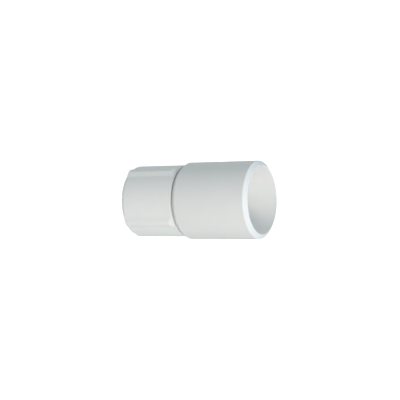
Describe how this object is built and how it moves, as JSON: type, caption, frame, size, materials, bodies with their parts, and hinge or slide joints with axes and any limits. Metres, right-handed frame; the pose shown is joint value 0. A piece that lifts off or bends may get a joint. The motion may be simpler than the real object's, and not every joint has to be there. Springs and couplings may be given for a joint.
{
  "type": "reducing pipe coupling",
  "caption": "Pale plastic reducing coupling: a plain bevelled sleeve takes the larger pipe, and a ribbed hand nut clamps the smaller one on the same axis.",
  "frame": {"origin": "on the common axis, in the plane of the ribbed nut's outer end face, on which the coupling stands", "axes": "+Z along the common axis, from the ribbed nut to the large mouth; the grip ring's slit faces +X"},
  "size_m": [0.0578, 0.0576, 0.105],
  "materials": {
    "body_plastic": "satin moulded rigid vinyl, very pale cool grey",
    "nut_plastic": "satin moulded rigid vinyl, very pale cool grey",
    "grip_plastic": "natural acetal, slightly creamy, matt",
    "washer_plastic": "natural polypropylene, waxy",
    "seal_rubber": "black moulded rubber, matt"
  },
  "bodies": {
    "body": {"socket_body": "body_plastic"},
    "ring_stack": {"grip_ring": "grip_plastic", "slip_washer": "washer_plastic", "seal_ring": "seal_rubber"},
    "nut": {"ribbed_nut": "nut_plastic"}
  },
  "joints": [
    {"name": "ring_travel", "type": "slide", "parent": "body", "child": "ring_stack", "axis": [0, 0, 1], "range_m": [-0.012, 0.0009]},
    {"name": "nut_turn", "type": "hinge", "parent": "ring_stack", "child": "nut", "pos_m": [0, 0, 0], "axis": [0, 0, 1], "range_deg": [-1440.5, 108.5]}
  ],
  "couplings": [
    {"joint": "nut_turn", "follows": "ring_travel", "rad_per_m": 2094.4}
  ]
}
